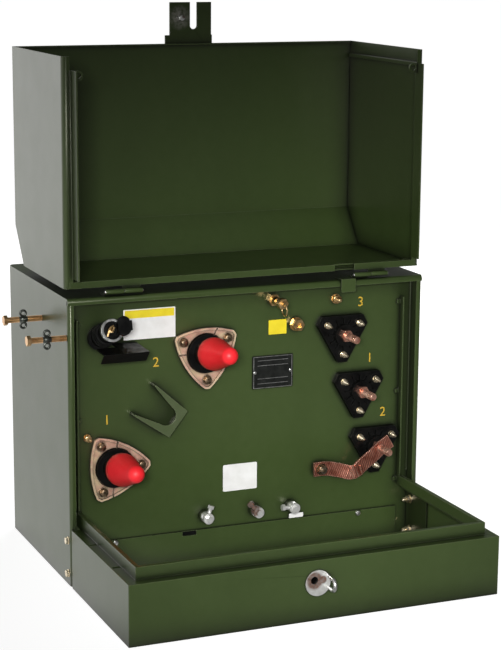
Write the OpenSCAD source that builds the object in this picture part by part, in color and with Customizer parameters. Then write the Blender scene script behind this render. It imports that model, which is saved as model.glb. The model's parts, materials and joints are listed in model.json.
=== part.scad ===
// Single-phase pad-mounted transformer with its flip-top hood swung open.
// Millimetres, +Z up, ground at z = 0, the front of the cabinet faces -Y.

/* [Tank] */
// Width of the tank, sill and hood
tank_w = 813; // [720:1:1000]
// Depth of the tank behind its front rim
tank_d = 446; // [360:1:600]
// Height of the tank
tank_h = 615; // [520:1:760]
// Sheet thickness of the tank and the sill
tank_sheet = 3.5; // [2.5:0.5:6]
// Outside radius of the tank's rear corners
tank_corner_r = 14; // [8:1:30]
// Width of the folded rim round the terminal compartment
rim_w = 13; // [10:1:24]
// Outside bend radius of the rim
rim_r = 8; // [6:1:9]
// Depth of the terminal plate behind the rim
recess_d = 45; // [35:1:60]
// Thickness of the terminal plate
plate_t = 6; // [4:0.5:10]
// Thickness of the tank's bottom
bottom_t = 6; // [4:0.5:12]

/* [Compartment guides] */
// Distance of the guide strips from the tank's sides
strip_inset = 30.5; // [29:0.5:36]
// How far the guide strips stand out of the terminal plate
strip_out = 17; // [8:1:25]
// Thickness of a guide strip
strip_t = 4; // [3:0.5:8]
// Height of the lower ends of the guide strips
strip_low = 130; // [80:1:200]
// Distance of the upper ends of the guide strips below the tank's top
strip_drop = 52; // [20:1:80]
// Height of the kick plate's upper edge
kick_h = 78; // [50:1:110]
// Thickness of the kick plate
kick_t = 3; // [2:0.5:5]

/* [Sill] */
// Depth of the sill in front of the rim
sill_d = 368; // [300:1:460]
// Height of the sill's shoulder
sill_h = 127; // [100:1:180]
// Width of the shoulder outside the lip
shoulder_w = 22; // [14:1:40]
// Height of the lip above the shoulder
lip_h = 26; // [15:1:40]
// Width over the folded lip
lip_w = 10; // [9:0.5:16]
// Gap between the sill and the rim
sill_gap = 7; // [1:0.5:12]
// How far the sill's lips and brackets reach in behind the rim
tongue_l = 26; // [15:1:35]

/* [Hood] */
// Sheet thickness of the hood
hood_sheet = 3; // [2:0.5:4]
// Gap between the closed hood and the rim
hood_gap = 5; // [4:0.5:10]
// Gap between the closed hood and the shoulder
hood_sill_gap = 16; // [10:1:30]
// Depth of the sloped face between the roof and the front
slope_d = 62; // [30:1:120]
// Height of the sloped face
slope_h = 83; // [40:1:160]
// Outside bend radius of the hood's edges
hood_fold_r = 11; // [7:1:14]
// Width of the flange on the hood's side edges
hood_flange = 18; // [17:0.5:20]
// How far the tongues of the side edges reach in behind the rim
hood_tongue = 30; // [15:1:36]
// Height of the roof's rear flange
roof_flange = 14; // [11:1:24]
// Depth of the lip on the roof's rear flange
roof_lip = 18; // [10:1:30]
// Width of the hem at the front panel's lower edge
front_hem = 12; // [8:1:20]
// Size of the square rails inside the hood
rail_s = 8; // [5:1:12]
// Gap between the closed hood's rails and tongues and the lip
rail_gap = 18; // [8:1:30]
// Angle that the hood is swung open
hood_open = 180; // [0:5:180]

/* [Hinges] */
// Distance of each hinge from the middle
hinge_x = 283; // [150:1:330]
// Length of a hinge
hinge_l = 80; // [50:1:120]
// Height of the hinge axis above the tank's top
hinge_rise = 9; // [8:0.5:14]
// Distance of the hinge axis behind the rim
hinge_setback = 6.5; // [4:0.5:12]
// Outside radius of a knuckle
knuckle_r = 5; // [4.5:0.25:6]
// Radius of the hinge pin
pin_r = 3; // [2:0.25:3.5]
// Radial clearance of the pin in its knuckles
pin_clearance = 0.05; // [0.02:0.01:0.1]
// Thickness of the hinge leaves
leaf_t = 3; // [2:0.5:4]
// Width of a hinge leaf
leaf_w = 34; // [20:1:60]
// Length of the arm between a knuckle and the step of its leaf
leaf_arm = 13; // [12:0.5:20]
// Gap between the two knuckles of a hinge
knuckle_gap = 0.6; // [0.4:0.1:2]

/* [Latch] */
// Width of the latch tab
tab_w = 100; // [80:1:140]
// Length of the latch tab below the hood
tab_l = 91; // [80:1:105]
// Thickness of the latch tab
tab_t = 4; // [3:0.5:6]
// Offset of the latch tab's middle from the hood's middle
tab_x = 10; // [-30:1:30]
// Width of the slot for the padlock staple
slot_w = 16; // [15:1:22]
// Length of that slot
slot_l = 52; // [44:1:60]
// Offset of the slot from the tab's middle
slot_x = 7; // [5:1:20]
// Radius of the captive bolt
latch_bolt_r = 6; // [4:0.5:8]
// Offset of the captive bolt from the tab's middle
latch_bolt_x = -26; // [-30:1:-12]
// Height of the captive bolt above the tab's lower edge
latch_bolt_up = 34; // [28:1:40]
// Radius of the lock plate on the sill
lock_plate_r = 27; // [22:1:34]
// Offset of the lock plate from the middle
lock_plate_x = -8; // [-15:1:10]
// Thickness of the lock plate
lock_plate_t = 3; // [2:0.5:5]
// Height of the lock plate's middle above the tab's lower edge
lock_plate_up = 28; // [24:1:34]
// Gap between the closed tab and the lock plate
tab_gap = 5; // [3:0.5:10]
// Bar radius of the padlock staple
staple_r = 4; // [3:0.5:5]
// Distance between the legs of the staple
staple_span = 24; // [20:1:30]
// Clear room for a shackle inside the staple
shackle_room = 13; // [9:1:20]

/* [Primary bushings] */
// Bolt circle radius of a bushing clamp
clamp_bolt_r = 58; // [50:1:70]
// Distance of the clamp's sides from its middle
clamp_side = 55; // [52:1:60]
// Reach of the clamp's blunt corners
clamp_reach = 78; // [72:1:84]
// Radius of the bulging sides of the clamp
clamp_bulge_r = 187; // [150:1:260]
// Thickness of the clamp
clamp_t = 8; // [5:0.5:12]
// Radius of the well flange inside the clamp
well_flange_r = 42; // [38:1:48]
// Radius of the well barrel
well_r = 30; // [26:1:34]
// How far the well stands out of the terminal plate
well_out = 56; // [50:1:90]
// Wall of the dust cap over the well
cap_wall = 5; // [3:0.5:8]
// How far the dust cap goes over the well
cap_grip = 10; // [6:1:16]
// Length of the dust cap
cap_l = 110; // [90:1:150]
// Radius of the dust cap's tip
cap_tip_r = 19; // [10:1:24]
// Upward tilt of the wells
well_tilt = 9; // [0:1:15]

/* [Secondary bushings] */
// Bolt circle radius of a secondary bushing
lv_bolt_r = 45; // [38:1:52]
// Distance from the middle to the long sides of its flange
lv_side = 41; // [36:1:48]
// Distance from the middle to the clipped corners of its flange
lv_corner = 63; // [56:1:70]
// Thickness of that flange
lv_flange_t = 13; // [8:1:20]
// Radius of the raised boss round the stud
lv_boss_r = 24; // [18:1:30]
// Height of that boss above the flange
lv_boss_h = 16; // [8:1:30]
// Radius of the terminal stud
lv_stud_r = 7.94; // [6:0.01:12]
// Length of the stud's free end
lv_stud_l = 46; // [40:1:80]
// Radius of the stud's shank in the boss
lv_shank_r = 9; // [8.5:0.1:14]
// Width across the flats of the stud's collar
lv_collar_w = 24; // [20:1:32]
// Thickness of the stud's collar
lv_collar_t = 9; // [5:1:14]

/* [Fuse and valve] */
// Outside radius of the fuse housing
fuse_r = 21; // [16:1:28]
// Length of the fuse housing
fuse_l = 82; // [50:1:110]
// Upward tilt of the fuse housing
fuse_tilt = 20.5; // [10:0.5:40]
// Width of the drip shield under the fuse
shield_w = 98; // [80:1:130]
// How far the drip shield stands out
shield_out = 90; // [70:1:120]
// Thickness of the drip shield
shield_t = 3; // [2:0.5:5]
// Length of the relief valve
valve_l = 56; // [40:1:70]
// Radius of the relief valve
valve_r = 9; // [6:0.5:14]

/* [Parking stand and plates] */
// Width of the parking stand at its base
stand_w = 68; // [60:1:90]
// Width over the tips of its arms
stand_tip_w = 80; // [70:1:100]
// Length of the parking stand
stand_l = 95; // [80:1:120]
// Radius of the notch in the parking stand
stand_notch_r = 21; // [16:1:26]
// How far the parking stand stands out of the terminal plate
stand_out = 28; // [18:1:45]
// Sheet thickness of the parking stand
stand_t = 4; // [3:0.5:6]
// Width of the rating plate
rating_w = 95; // [70:1:130]
// Height of the rating plate
rating_h = 72; // [50:1:100]
// Thickness of the rating plate
rating_t = 2; // [1:0.5:4]

/* [Ground strap and connectors] */
// Width of the copper ground strap
strap_w = 32; // [24:1:40]
// Thickness of the ground strap
strap_t = 5; // [3:0.5:8]
// Radius of the ground bosses
boss_r = 13; // [10:1:18]
// How far the ground bosses stand out of the plate
boss_out = 10; // [6:1:20]

/* [Lifting bolts] */
// Radius of a lifting bolt
lift_r = 6; // [5:0.5:8]
// How far a lifting bolt stands out of the tank's side
lift_out = 76; // [60:1:120]
// Width across the flats of its hexagon head
lift_head_w = 19; // [16:1:24]
// Thickness of the head
lift_head_t = 8; // [6:0.5:12]

/* [Hidden] */
$fn = 64;

paint = "darkolivegreen";
eps = 0.01;
seat = 0.3;

// The origin lies under the middle of the whole object
staple_out = lock_plate_t + tab_gap + tab_t + shackle_room + 2 * staple_r;
frame_x = -(lift_out + lift_head_t) / 2;
frame_y = (tank_d - sill_d - staple_out) / 2;

half_w = tank_w / 2;
inner_w = tank_w - 2 * tank_sheet;
plate_y = recess_d;
strip_x = half_w - strip_inset;
strip_top = tank_h - strip_drop;
lip_top = sill_h + lip_h;
lip_in = shoulder_w + lip_w;

// Hood, drawn closed and swung about the hinge axis
hinge_z = tank_h + hinge_rise;
hood_back = -hood_gap;
hood_front = -sill_d;
hood_low = sill_h + hood_sill_gap;
slope_a = atan(slope_h / slope_d);
rail_z = lip_top + rail_gap;
flange_top = tank_h - roof_flange;
tongue_x = half_w - hood_flange;
tongue_top = flange_top - 7;

// Latch, measured from the front of the sill
tab_in = lock_plate_t + tab_gap;
tab_low = hood_low - tab_l;
latch_bolt_z = tab_low + latch_bolt_up;
lock_plate_z = tab_low + lock_plate_up;
bolt_x = tab_x + latch_bolt_x;
staple_x = tab_x + slot_x;
staple_z = tab_low + slot_l / 2;

// Places on the terminal plate, as x and z
lower_well_at = [-294, 238];
upper_well_at = [-88, 470];
lv_first_at = [231, 489];
lv_step = [42, -130];
fuse_at = [-324, 522];
fuse_flange_r = fuse_r + 6;
fuse_flange_t = 8;
fuse_rib_r = fuse_r + 4;
fuse_ring_r = fuse_r + 3;
fuse_ring_h = 9;
shield_at = [-294, 507];
valve_at = [69, 575];
plug_at = [122, 518];
stand_at = [-197, 355];
stand_turn = 52;
rating_at = [69, 416];
strap_boss_at = [183, 187];
connector_x = [-90, 28, 114];
connector_z = 108;
connector_turn = [-20, 40, 85];
lift_y = [188, 14];
lift_z = [542, 533];
clip_x = 226;
clip_w = 34;
clip_drop = 26;
clip_room = 6;

module place() {
    translate([-frame_x, -frame_y, 0]) children();
}

// Swings a piece drawn on the closed hood
module on_hood() {
    place()
        translate([0, hinge_setback, hinge_z])
            rotate([-hood_open, 0, 0])
                translate([0, -hinge_setback, -hinge_z])
                    children();
}

// Puts a piece drawn on the XY plane, with +Z outwards, on the terminal plate
module on_plate(at) {
    place()
        translate([at[0], plate_y, at[1]])
            rotate([90, 0, 0])
                children();
}

// Extrudes a YZ profile along X between two places
module along_x(x0, x1) {
    translate([x0, 0, 0])
        rotate([90, 0, 90])
            linear_extrude(x1 - x0)
                children();
}

// Keeps a piece on the left and draws its mirror image on the right
module side(s) {
    if (s > 0)
        mirror([1, 0, 0]) children();
    else
        children();
}

// Quarter of a bent sheet, with its middle at the origin and its outside in the low corner
module bend(r, t) {
    intersection() {
        difference() {
            circle(r);
            circle(r - t);
        }
        translate([-r, -r]) square(r);
    }
}

// Triangle with bulging sides and blunt corners, the first of them along +X
module bulged_triangle(side_at, reach) {
    intersection() {
        circle(reach);
        intersection_for (a = [60, 180, 300])
            rotate(a) translate([side_at - clamp_bulge_r, 0]) circle(clamp_bulge_r);
    }
}

// Triangle with clipped corners, from the distances of its long and short sides
module clipped_triangle(side_at, corner_at) {
    half = (corner_at - side_at * cos(60)) / sin(60);
    polygon([
        for (i = [0 : 2], s = [-1, 1])
            let (a = 90 + i * 120)
                side_at * [cos(a), sin(a)] + s * half * [-sin(a), cos(a)]
    ]);
}

// Section of a side wall with its rolled front rim, seen from above, left side
module tank_side_section() {
    translate([-half_w, rim_r]) square([tank_sheet, tank_d - rim_r - tank_corner_r]);
    translate([-half_w + rim_r, rim_r]) bend(rim_r, tank_sheet);
    translate([-half_w + rim_r, 0]) square([rim_w - rim_r, tank_sheet]);
}

// Section of the cover with its front edge folded down
module cover_section() {
    translate([rim_r, tank_h - tank_sheet]) square([tank_d - rim_r, tank_sheet]);
    translate([rim_r, tank_h - rim_r]) mirror([0, 1]) bend(rim_r, tank_sheet);
    translate([0, tank_h - rim_w]) square([tank_sheet, rim_w - rim_r]);
}

module tank_side(s) {
    color(paint) place() side(s) difference() {
        linear_extrude(tank_h - tank_sheet) tank_side_section();
        translate([-half_w - eps, -eps, tank_h - rim_w]) cube([rim_w + 2 * eps, rim_r + eps, rim_w]);
        translate([-half_w + tank_sheet, -eps, -eps]) cube([rim_w, rim_r, sill_h]);
    }
}

module tank_left_side() { tank_side(-1); }
module tank_right_side() { tank_side(1); }

module tank_back() {
    color(paint) place() linear_extrude(tank_h - tank_sheet) {
        for (s = [0, 1])
            mirror([s, 0])
                translate([-half_w + tank_corner_r, tank_d - tank_corner_r])
                    mirror([0, 1])
                        bend(tank_corner_r, tank_sheet);
        translate([-half_w + tank_corner_r, tank_d - tank_sheet])
            square([tank_w - 2 * tank_corner_r, tank_sheet]);
    }
}

module tank_cover() {
    color(paint) place() intersection() {
        along_x(-half_w, half_w) cover_section();
        linear_extrude(tank_h + eps) tank_outline();
    }
}

// Plan of the tank, with rounded rear corners
module tank_outline() {
    translate([-half_w, 0]) square([tank_w, tank_d - tank_corner_r]);
    translate([-half_w + tank_corner_r, 0]) square([tank_w - 2 * tank_corner_r, tank_d]);
    for (s = [-1, 1])
        translate([s * (half_w - tank_corner_r), tank_d - tank_corner_r]) circle(tank_corner_r);
}

module tank_bottom() {
    bottom_y = plate_y + plate_t;
    inner_r = tank_corner_r - tank_sheet;
    color(paint) place() linear_extrude(bottom_t) {
        translate([-inner_w / 2, bottom_y]) square([inner_w, tank_d - tank_corner_r - bottom_y]);
        translate([-inner_w / 2 + inner_r, bottom_y])
            square([inner_w - 2 * inner_r, tank_d - tank_sheet - bottom_y]);
        for (s = [-1, 1])
            translate([s * (inner_w / 2 - inner_r), tank_d - tank_corner_r]) circle(inner_r);
    }
}

module terminal_plate() {
    color(paint) place()
        translate([-inner_w / 2, plate_y, 0])
            cube([inner_w, plate_t, tank_h - tank_sheet]);
}

module kick_plate() {
    slot_size = [32, 10];
    slot_at = [-125, 72];
    foot = 8;
    color(paint) on_plate([0, 0]) linear_extrude(kick_t) difference() {
        translate([-strip_x, foot]) square([2 * strip_x, kick_h - foot]);
        translate(slot_at - slot_size / 2) square(slot_size);
    }
}

// Upright strip with three lugs that hold it to the terminal plate
module guide_strip(s) {
    lug = [9, 4, 9];
    lug_gap = 8;
    lug_run = strip_top - strip_low - lug[2] - 2 * lug_gap;
    color(paint) place() side(s) {
        translate([-strip_x - strip_t, plate_y - strip_out, strip_low])
            cube([strip_t, strip_out, strip_top - strip_low]);
        for (i = [0 : 2])
            translate([-strip_x - eps, plate_y - lug[1], strip_low + lug_gap + i * lug_run / 2])
                cube(lug);
    }
}

module left_guide_strip() { guide_strip(-1); }
module right_guide_strip() { guide_strip(1); }

// Section of the sill: wall, shoulder and folded lip, with the outside face at 0
module sill_section() {
    square([tank_sheet, sill_h]);
    translate([0, sill_h - tank_sheet]) square([shoulder_w + tank_sheet, tank_sheet]);
    translate([shoulder_w, sill_h - tank_sheet]) square([tank_sheet, lip_h + tank_sheet]);
    translate([shoulder_w, lip_top - tank_sheet]) square([lip_w, tank_sheet]);
    translate([shoulder_w + lip_w - tank_sheet, sill_h + tank_sheet])
        square([tank_sheet, lip_h - tank_sheet]);
}

// Plan of the front of the sill, mitred at both ends
module sill_front_plan() {
    deep = shoulder_w + lip_w;
    polygon([
        [-half_w, -sill_d], [half_w, -sill_d],
        [half_w - deep, -sill_d + deep], [-half_w + deep, -sill_d + deep]
    ]);
}

module sill_front() {
    bolt_hole_r = latch_bolt_r + 3;
    bolt_hole_l = 4 * lip_w;
    color(paint) place() difference() {
        intersection() {
            translate([0, -sill_d, 0]) along_x(-half_w, half_w) sill_section();
            linear_extrude(lip_top) sill_front_plan();
        }
        translate([bolt_x, -sill_d, latch_bolt_z])
            rotate([90, 0, 0])
                cylinder(r = bolt_hole_r, h = bolt_hole_l, center = true);
    }
}

// Side of the sill with two drain slots through its shoulder
module sill_side(s) {
    drain = [16, 9];
    drain_x = (shoulder_w + tank_sheet - drain[0]) / 2 - half_w;
    drain_y = [-0.31, -0.71] * sill_d;
    color(paint) place() side(s) difference() {
        translate([-half_w, tongue_l, 0])
            rotate([90, 0, 0])
                linear_extrude(sill_d + tongue_l)
                    sill_section();
        linear_extrude(lip_top + eps) sill_front_plan();
        translate([-half_w - eps, -sill_d - eps, -eps]) cube([lip_in + 1, eps, lip_top]);
        translate([-half_w - eps, -sill_gap, -eps])
            cube([shoulder_w + eps, tongue_l + sill_gap + 1, lip_top + 1]);
        for (y = drain_y)
            translate([drain_x, y - drain[1] / 2, sill_h - 2 * tank_sheet])
                cube([drain[0], drain[1], 3 * tank_sheet]);
    }
}

module sill_left() { sill_side(-1); }
module sill_right() { sill_side(1); }

// Plate inside the sill's wall that runs back against the tank's side
module sill_bracket(s) {
    overlap = 60;
    low = 8;
    color(paint) place() side(s)
        translate([-half_w + tank_sheet, -overlap, low])
            cube([tank_sheet, overlap + tongue_l, sill_h - tank_sheet - low]);
}

module left_sill_bracket() { sill_bracket(-1); }
module right_sill_bracket() { sill_bracket(1); }

module lock_plate() {
    bolt_hole_r = latch_bolt_r + 2;
    color("silver") place() translate([lock_plate_x, -sill_d, lock_plate_z]) rotate([90, 0, 0])
        difference() {
            cylinder(r = lock_plate_r, h = lock_plate_t);
            translate([bolt_x - lock_plate_x, latch_bolt_z - lock_plate_z, -eps])
                cylinder(r = bolt_hole_r, h = lock_plate_t + 2 * eps);
        }
}

// Upright loop that the tab's slot passes over
module padlock_staple() {
    bow_r = staple_span / 2;
    leg = staple_out - bow_r - staple_r - lock_plate_t;
    color("silver") place()
        translate([staple_x, -sill_d - lock_plate_t, staple_z])
            rotate([90, 0, 0]) {
                for (s = [-1, 1])
                    translate([0, s * bow_r, 0]) cylinder(r = staple_r, h = leg);
                translate([0, 0, leg])
                    rotate([90, 0, 90])
                        rotate_extrude(angle = 180)
                            translate([bow_r, 0]) circle(staple_r);
            }
}

// One half of a hinge, its knuckle from x = 0 and its stepped leaf towards +Y
module hinge_half(length) {
    difference() {
        union() {
            translate([0, leaf_arm, -hinge_rise]) cube([length, leaf_w - leaf_arm, leaf_t]);
            translate([0, leaf_arm, -hinge_rise]) cube([length, leaf_t, hinge_rise - knuckle_r + leaf_t]);
            translate([0, 0, -knuckle_r]) cube([length, leaf_arm + leaf_t, leaf_t]);
            rotate([0, 90, 0]) cylinder(r = knuckle_r, h = length);
        }
        translate([-eps, 0, 0]) rotate([0, 90, 0]) cylinder(r = pin_r + pin_clearance, h = length + 2 * eps);
    }
}

knuckle_l = (hinge_l - knuckle_gap) / 2;

module tank_hinge_leaves() {
    color(paint) place()
        for (x = [-hinge_x, hinge_x])
            translate([x - hinge_l / 2, hinge_setback, hinge_z]) hinge_half(knuckle_l);
}

module hood_hinge_leaves() {
    color(paint) on_hood()
        for (x = [-hinge_x, hinge_x])
            translate([x + hinge_l / 2, hinge_setback, hinge_z]) rotate(180) hinge_half(knuckle_l);
}

module hinge_pins() {
    stick_out = 1.5;
    color("silver") place()
        for (x = [-hinge_x, hinge_x])
            translate([x - hinge_l / 2 - stick_out, hinge_setback, hinge_z])
                rotate([0, 90, 0])
                    cylinder(r = pin_r, h = hinge_l + 2 * stick_out);
}

// Folded clip over the rim's upper edge
module rim_clip() {
    clip_t = 3;
    clip_back = 30;
    color(paint) place() translate([clip_x - clip_w / 2, 0, 0]) {
        translate([0, -clip_t, tank_h - clip_drop]) cube([clip_w, clip_t, clip_drop + clip_t]);
        translate([0, 0, tank_h]) cube([clip_w, clip_back, clip_t]);
    }
}

// Three-cornered clamp with a raised edge, bolt pads and a groove at each joint of its ring
module clamp(at, turn, joints) {
    edge = 4;
    web = clamp_t - 3;
    bevel = 4;
    groove = [4, 3];
    pad_r = 11;
    pad_h = 1;
    color("burlywood") on_plate(at) difference() {
        rotate(turn) {
            difference() {
                linear_extrude(clamp_t) bulged_triangle(clamp_side, clamp_reach);
                translate([0, 0, web])
                    linear_extrude(clamp_t)
                        bulged_triangle(clamp_side - edge, clamp_reach - edge);
            }
            for (k = [0 : 2])
                rotate(120 * k) translate([clamp_bolt_r, 0, 0]) cylinder(r = pad_r, h = web + pad_h);
        }
        translate([0, 0, -eps]) cylinder(r = well_flange_r + seat, h = clamp_t + 1);
        translate([0, 0, web - bevel / 2])
            cylinder(r1 = well_flange_r + seat, r2 = well_flange_r + seat + bevel, h = bevel);
        for (a = joints)
            rotate(a)
                translate([0, -groove[0] / 2, groove[1]])
                    cube([clamp_reach, groove[0], clamp_t]);
    }
}

module lower_clamp() { clamp(lower_well_at, 2, [85, 265]); }
module upper_clamp() { clamp(upper_well_at, 32, [65, 180]); }

// Axis of a tilted well, with its root on the terminal plate
module on_well(at) {
    on_plate(at) rotate([-well_tilt, 0, 0]) children();
}

module well(at) {
    root = 6;
    color("dimgray") {
        on_plate(at) cylinder(r = well_flange_r, h = clamp_t + 3);
        on_well(at) translate([0, 0, root]) cylinder(r = well_r, h = well_out - root);
    }
}

module lower_well() { well(lower_well_at); }
module upper_well() { well(upper_well_at); }

// Push-on dust cap with a tapered body and a round tip
module dust_cap(at) {
    mouth = well_out - cap_grip;
    mouth_r = well_r + cap_wall;
    skirt = cap_grip + cap_wall;
    color("red") on_well(at) translate([0, 0, mouth]) difference() {
        rotate_extrude() {
            polygon([
                [0, 0], [mouth_r, 0], [mouth_r, skirt], [cap_tip_r, cap_l - cap_tip_r], [0, cap_l - cap_tip_r]
            ]);
            intersection() {
                translate([0, cap_l - cap_tip_r]) circle(cap_tip_r);
                translate([0, cap_l - cap_tip_r]) square(cap_tip_r);
            }
        }
        translate([0, 0, -eps]) cylinder(r = well_r + seat, h = cap_grip + seat + eps);
    }
}

module lower_dust_cap() { dust_cap(lower_well_at); }
module upper_dust_cap() { dust_cap(upper_well_at); }

function lv_at(i) = lv_first_at + i * lv_step;

// Three-cornered flange with bolt pads, and a boss with ribs round it
module secondary_bushing(i) {
    pad_r = 12;
    pad_h = 2;
    ribs = 12;
    rib = [14, 3, lv_boss_h / 2];
    color("black") on_plate(lv_at(i)) difference() {
        union() {
            linear_extrude(lv_flange_t) clipped_triangle(lv_side, lv_corner);
            cylinder(r = lv_boss_r, h = lv_flange_t + lv_boss_h);
            for (k = [0 : 2])
                rotate(30 + 120 * k)
                    translate([lv_bolt_r, 0, lv_flange_t - eps])
                        cylinder(r = pad_r, h = pad_h);
            for (k = [0 : ribs - 1])
                rotate(360 * k / ribs)
                    translate([lv_boss_r - 2, -rib[1] / 2, lv_flange_t - eps])
                        cube(rib);
        }
        translate([0, 0, lv_flange_t]) cylinder(r = lv_shank_r + seat, h = lv_boss_h + 1);
    }
}

module top_secondary_bushing() { secondary_bushing(0); }
module middle_secondary_bushing() { secondary_bushing(1); }
module bottom_secondary_bushing() { secondary_bushing(2); }

// Terminal stud with its shank in the boss and a hexagon collar above it
module stud(i) {
    color("peru") on_plate(lv_at(i)) translate([0, 0, lv_flange_t]) {
        cylinder(r = lv_shank_r, h = lv_boss_h + lv_collar_t);
        translate([0, 0, lv_boss_h]) cylinder(r = lv_collar_w / 2 / cos(30), h = lv_collar_t, $fn = 6);
        translate([0, 0, lv_boss_h + lv_collar_t]) cylinder(r = lv_stud_r, h = lv_stud_l);
    }
}

module top_stud() { stud(0); }
module middle_stud() { stud(1); }
module bottom_stud() { stud(2); }

strap_bolt_r = 6;

module strap_boss() {
    stud_out = 14;
    color("silver") on_plate(strap_boss_at) {
        cylinder(r = boss_r, h = boss_out);
        cylinder(r = strap_bolt_r, h = boss_out + strap_t + stud_out);
    }
}

// Middle line of the strap through given places, as x, z and distance out of the terminal plate
strap_end = lv_at(2);
strap_high = lv_flange_t + lv_boss_h + lv_collar_t + seat + strap_t / 2;
strap_low = boss_out + strap_t / 2 + seat;
strap_knots = [
    [strap_boss_at[0] - 18, strap_boss_at[1], strap_low],
    [strap_boss_at[0] + 15, strap_boss_at[1], strap_low],
    [strap_boss_at[0] + 45, strap_boss_at[1] - 7, strap_low + 3],
    [strap_boss_at[0] + 75, strap_boss_at[1] - 12, strap_low + 11],
    [strap_end[0] - 37, strap_end[1] - 34, strap_high - 8],
    [strap_end[0] - 19, strap_end[1] - 16, strap_high],
    [strap_end[0], strap_end[1], strap_high],
    [strap_end[0] + 24, strap_end[1] + 15, strap_high]
];
strap_steps = 4;

function knot(i) = strap_knots[min(max(i, 0), len(strap_knots) - 1)];
function between(i, t) =
    (2 * knot(i) + t * (knot(i + 1) - knot(i - 1))
        + t * t * (2 * knot(i - 1) - 5 * knot(i) + 4 * knot(i + 1) - knot(i + 2))
        + t * t * t * (3 * knot(i) - knot(i - 1) - 3 * knot(i + 1) + knot(i + 2))) / 2;
strap_path = [
    for (i = [0 : len(strap_knots) - 2], k = [0 : strap_steps - 1]) between(i, k / strap_steps),
    strap_knots[len(strap_knots) - 1]
];

function unit(v) = v / norm(v);
function strap_way(i) = unit(strap_path[min(i + 1, len(strap_path) - 1)] - strap_path[max(i - 1, 0)]);
function strap_out(i) = unit([-strap_way(i)[2] * strap_way(i)[0], -strap_way(i)[2] * strap_way(i)[1],
    1 - strap_way(i)[2] * strap_way(i)[2]]);
function strap_ring(i) =
    let (o = strap_out(i), w = cross(o, strap_way(i)), p = strap_path[i])
        [for (c = [[-1, -1], [1, -1], [1, 1], [-1, 1]]) p + c[0] * strap_w / 2 * w + c[1] * strap_t / 2 * o];

module ground_strap() {
    last = len(strap_path) - 1;
    color("peru") on_plate([0, 0]) difference() {
        polyhedron(
            points = [for (i = [0 : last]) each strap_ring(i)],
            faces = concat(
                [[0, 1, 2, 3]],
                [for (i = [0 : last - 1], k = [0 : 3])
                    [4 * i + k, 4 * i + 4 + k, 4 * i + (k + 1) % 4]],
                [for (i = [0 : last - 1], k = [0 : 3])
                    [4 * i + (k + 1) % 4, 4 * i + 4 + k, 4 * i + 4 + (k + 1) % 4]],
                [[for (k = [3 : -1 : 0]) 4 * last + k]]
            )
        );
        translate([strap_end[0], strap_end[1], 0]) cylinder(r = lv_stud_r + seat, h = 2 * strap_high);
        translate([strap_boss_at[0], strap_boss_at[1], 0])
            cylinder(r = strap_bolt_r + seat, h = 2 * strap_high);
    }
}

module ground_bosses() {
    color(paint)
        for (x = connector_x)
            on_plate([x, connector_z]) cylinder(r = boss_r, h = boss_out);
}

// Eye connectors on the ground bosses, each with a cross hole, a bolt and a pinch screw
module ground_connectors() {
    body_r = 12;
    body_l = 20;
    eye_r = 5;
    bolt_w = 13;
    bolt_l = 7;
    screw_r = 4.5;
    screw_l = 30;
    screw_head_w = 13;
    screw_head_t = 7;
    color("silver")
        for (i = [0 : len(connector_x) - 1])
            on_plate([connector_x[i], connector_z]) rotate(connector_turn[i]) translate([0, 0, boss_out]) {
                difference() {
                    cylinder(r = body_r, h = body_l);
                    translate([0, 0, body_l / 2])
                        rotate([0, 90, 0])
                            cylinder(r = eye_r, h = 3 * body_r, center = true);
                }
                translate([0, 0, body_l]) cylinder(r = bolt_w / 2 / cos(30), h = bolt_l, $fn = 6);
                translate([0, body_r - 2, body_l / 2]) rotate([-90, 0, 0]) {
                    cylinder(r = screw_r, h = screw_l - body_r);
                    translate([0, 0, screw_l - body_r - screw_head_t])
                        cylinder(r = screw_head_w / 2 / cos(30), h = screw_head_t, $fn = 6);
                }
            }
}

module on_fuse() {
    on_plate(fuse_at) rotate([-fuse_tilt, 0, 0]) children();
}

// Tilted fuse holder with a round flange, ribs, and a latch ear whose knob stands over its mouth
module fuse_housing() {
    rib_t = 4;
    ear_r = 14;
    ear_t = 14;
    ear_at = [fuse_r + 8, 6, fuse_l - ear_t];
    post = [14, 20, 22];
    knob_r = 13;
    knob_y = [-1, 13];
    knob_t = 12;
    knob_low = fuse_l + post[2] - knob_t;
    color("black") on_plate(fuse_at) {
        cylinder(r = fuse_flange_r, h = fuse_flange_t);
        intersection() {
            rotate([-fuse_tilt, 0, 0]) {
                translate([0, 0, -fuse_r]) cylinder(r = fuse_r, h = fuse_l + fuse_r);
                for (z = [0.3, 0.45, 0.6] * fuse_l)
                    translate([0, 0, z]) cylinder(r = fuse_rib_r, h = rib_t);
                translate(ear_at) {
                    cylinder(r = ear_r, h = ear_t);
                    translate([-ear_at[0], -ear_r, 0]) cube([ear_at[0], 2 * ear_r, ear_t]);
                }
                translate([fuse_ring_r + 1, -4, fuse_l - eps]) cube(post);
                for (y = knob_y)
                    translate([fuse_r + 1, y, knob_low]) cylinder(r = knob_r, h = knob_t);
                translate([fuse_r + 1 - knob_r, knob_y[0], knob_low])
                    cube([2 * knob_r, knob_y[1] - knob_y[0], knob_t]);
            }
            translate([-fuse_l, -fuse_l, 0]) cube(2 * fuse_l);
        }
    }
}

// Bright ring round the fuse holder's mouth
module fuse_cap() {
    hole_r = fuse_r - 2;
    color("silver") on_fuse() translate([0, 0, fuse_l]) difference() {
        cylinder(r = fuse_ring_r, h = fuse_ring_h);
        translate([0, 0, -eps]) cylinder(r = hole_r, h = fuse_ring_h + 2 * eps);
    }
}

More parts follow.
